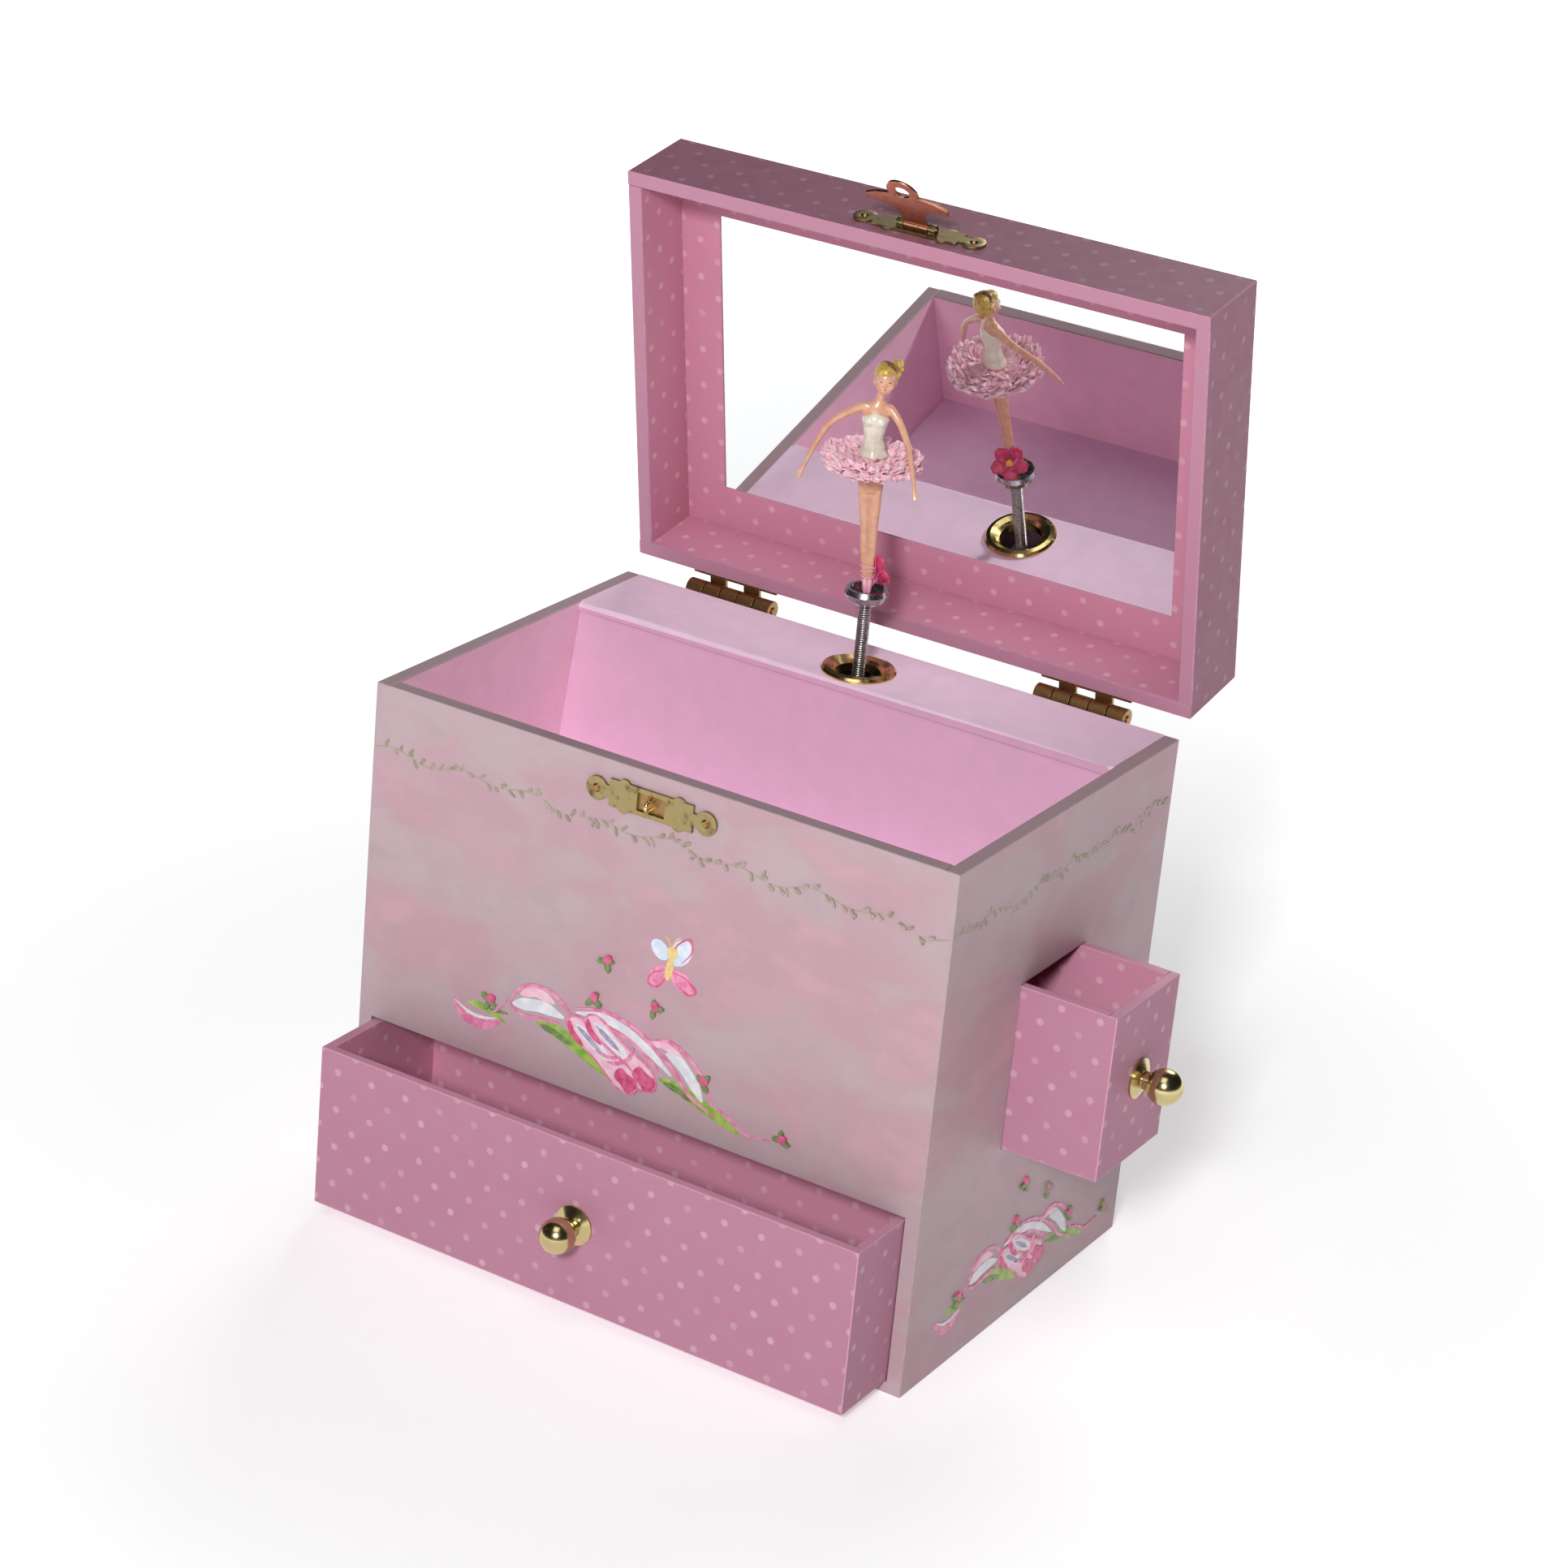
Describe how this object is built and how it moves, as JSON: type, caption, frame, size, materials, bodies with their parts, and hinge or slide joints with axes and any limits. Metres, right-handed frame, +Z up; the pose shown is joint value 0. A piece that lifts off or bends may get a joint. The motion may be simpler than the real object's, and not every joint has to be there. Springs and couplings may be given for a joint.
{
  "type": "ballerina jewellery box",
  "caption": "Musical jewellery box: hinged lid with mirror, lined compartment, front and side drawers, brass clasp and a ballerina turning on a folding spring post.",
  "frame": {"origin": "centre of the case's underside, midway between its side boards and between its front and back boards", "axes": "+Z up, -Y towards the front with the lock plate and the wide drawer, +X towards the side drawer"},
  "size_m": [0.1965, 0.166, 0.2579],
  "materials": {
    "cloud_paper": "satin printed paper over board, pale pink and grey watercolour clouds",
    "dotted_paper": "satin pink paper with small pale dots",
    "lining_paper": "plain lilac pink paper",
    "antique_brass": "aged stamped brass",
    "polished_brass": "polished brass plate",
    "copper_brass": "coppery stamped brass",
    "steel": "plain drawn steel",
    "die_cast_zinc": "dull die-cast metal",
    "grey_metal": "dark grey plated metal",
    "mirror_glass": "silvered flat glass",
    "doll_plastic": "painted moulded plastic",
    "tutu_net": "frilled pink net",
    "flower_plastic": "moulded red plastic"
  },
  "bodies": {
    "case": {"base_panel": "cloud_paper", "left_panel": "cloud_paper", "right_panel": "cloud_paper", "back_panel": "cloud_paper", "front_panel": "cloud_paper", "drawer_deck": "cloud_paper", "compartment_floor": "lining_paper", "ledge_riser": "lining_paper", "ledge_top": "lining_paper", "drawer_pocket": "cloud_paper", "lock_plate": "antique_brass", "lock_staple": "polished_brass", "brass_ring": "polished_brass", "case_hinge_leaves": "antique_brass", "hinge_pins": "polished_brass", "case_fitting_pins": "polished_brass", "bedplate": "die_cast_zinc", "movement_screws": "steel", "spring_housing": "die_cast_zinc", "mainspring": "steel", "tone_comb": "steel", "spindle_bracket": "die_cast_zinc", "governor_housing": "die_cast_zinc"},
    "key": {"winding_arbor": "steel", "great_wheel": "polished_brass", "winding_key": "steel"},
    "spindle": {"drive_spindle": "steel", "spindle_wheel": "polished_brass"},
    "cylinder": {"music_cylinder": "polished_brass", "cylinder_wheel": "polished_brass"},
    "pinion": {"governor_pinion": "steel"},
    "fan": {"governor_fan": "polished_brass"},
    "lid": {"lid_top_panel": "dotted_paper", "lid_front_wall": "dotted_paper", "lid_back_wall": "dotted_paper", "lid_end_walls": "dotted_paper", "mirror_border": "dotted_paper", "mirror": "mirror_glass", "hasp_base": "antique_brass", "hasp_pin": "polished_brass", "lid_hinge_leaves": "antique_brass", "lid_fitting_pins": "polished_brass"},
    "hasp": {"hasp": "copper_brass"},
    "front_drawer": {"front_drawer_face": "dotted_paper", "front_drawer_back": "dotted_paper", "front_drawer_sides": "dotted_paper", "front_drawer_bottom": "dotted_paper", "front_drawer_knob": "polished_brass", "front_knob_screw": "steel"},
    "side_drawer": {"side_drawer_face": "dotted_paper", "side_drawer_back": "dotted_paper", "side_drawer_sides": "dotted_paper", "side_drawer_bottom": "dotted_paper", "side_drawer_knob": "polished_brass", "side_knob_screw": "steel"},
    "post": {"spring_post": "steel"},
    "dancer": {"post_cup": "grey_metal", "ankle_flower": "flower_plastic", "ballerina": "doll_plastic", "tutu": "tutu_net"}
  },
  "joints": [
    {"name": "lid_hinge", "type": "hinge", "parent": "case", "child": "lid", "pos_m": [0, 0.05785, 0.1326], "axis": [1, 0, 0], "range_deg": [0, 79.4]},
    {"name": "hasp_swing", "type": "hinge", "parent": "lid", "child": "hasp", "pos_m": [-0.0006, 0.04335, 0.2449], "axis": [-1, 0, 0], "range_deg": [-58.4, 111.6]},
    {"name": "front_drawer_slide", "type": "slide", "parent": "case", "child": "front_drawer", "axis": [0, -1, 0], "range_m": [-0.02, 0.014]},
    {"name": "side_drawer_slide", "type": "slide", "parent": "case", "child": "side_drawer", "axis": [1, 0, 0], "range_m": [-0.0251, 0.025]},
    {"name": "key_turn", "type": "hinge", "parent": "case", "child": "key", "pos_m": [0, 0.044, 0.098], "axis": [0, 1, 0], "continuous": true},
    {"name": "spindle_turn", "type": "hinge", "parent": "case", "child": "spindle", "pos_m": [0, 0.0361, 0.12], "axis": [0, 0, 1], "continuous": true},
    {"name": "cylinder_turn", "type": "hinge", "parent": "case", "child": "cylinder", "pos_m": [0.028, 0.0361, 0.098], "axis": [1, 0, 0], "continuous": true},
    {"name": "pinion_turn", "type": "hinge", "parent": "case", "child": "pinion", "pos_m": [0.04, 0.0361, 0.107], "axis": [1, 0, 0], "continuous": true},
    {"name": "fan_turn", "type": "hinge", "parent": "case", "child": "fan", "pos_m": [0.0484, 0.038, 0.115], "axis": [0, 0, 1], "continuous": true},
    {"name": "post_fold", "type": "hinge", "parent": "case", "child": "post", "pos_m": [0, 0.0336, 0.1427], "axis": [1, 0, 0], "range_deg": [0, 112.5], "deforming": ["spring_post"]},
    {"name": "dancer_turn", "type": "hinge", "parent": "post", "child": "dancer", "pos_m": [0, 0.0361, 0.16], "axis": [0, 0, 1], "continuous": true}
  ],
  "couplings": [
    {"joint": "spindle_turn", "follows": "key_turn", "ratio": -1.7778},
    {"joint": "cylinder_turn", "follows": "key_turn", "ratio": -1.7778},
    {"joint": "pinion_turn", "follows": "key_turn", "ratio": 5.3333},
    {"joint": "fan_turn", "follows": "key_turn", "ratio": 32},
    {"joint": "dancer_turn", "follows": "key_turn", "ratio": -1.7778},
    {"joint": "post_fold", "follows": "lid_hinge", "ratio": 1.4106}
  ]
}
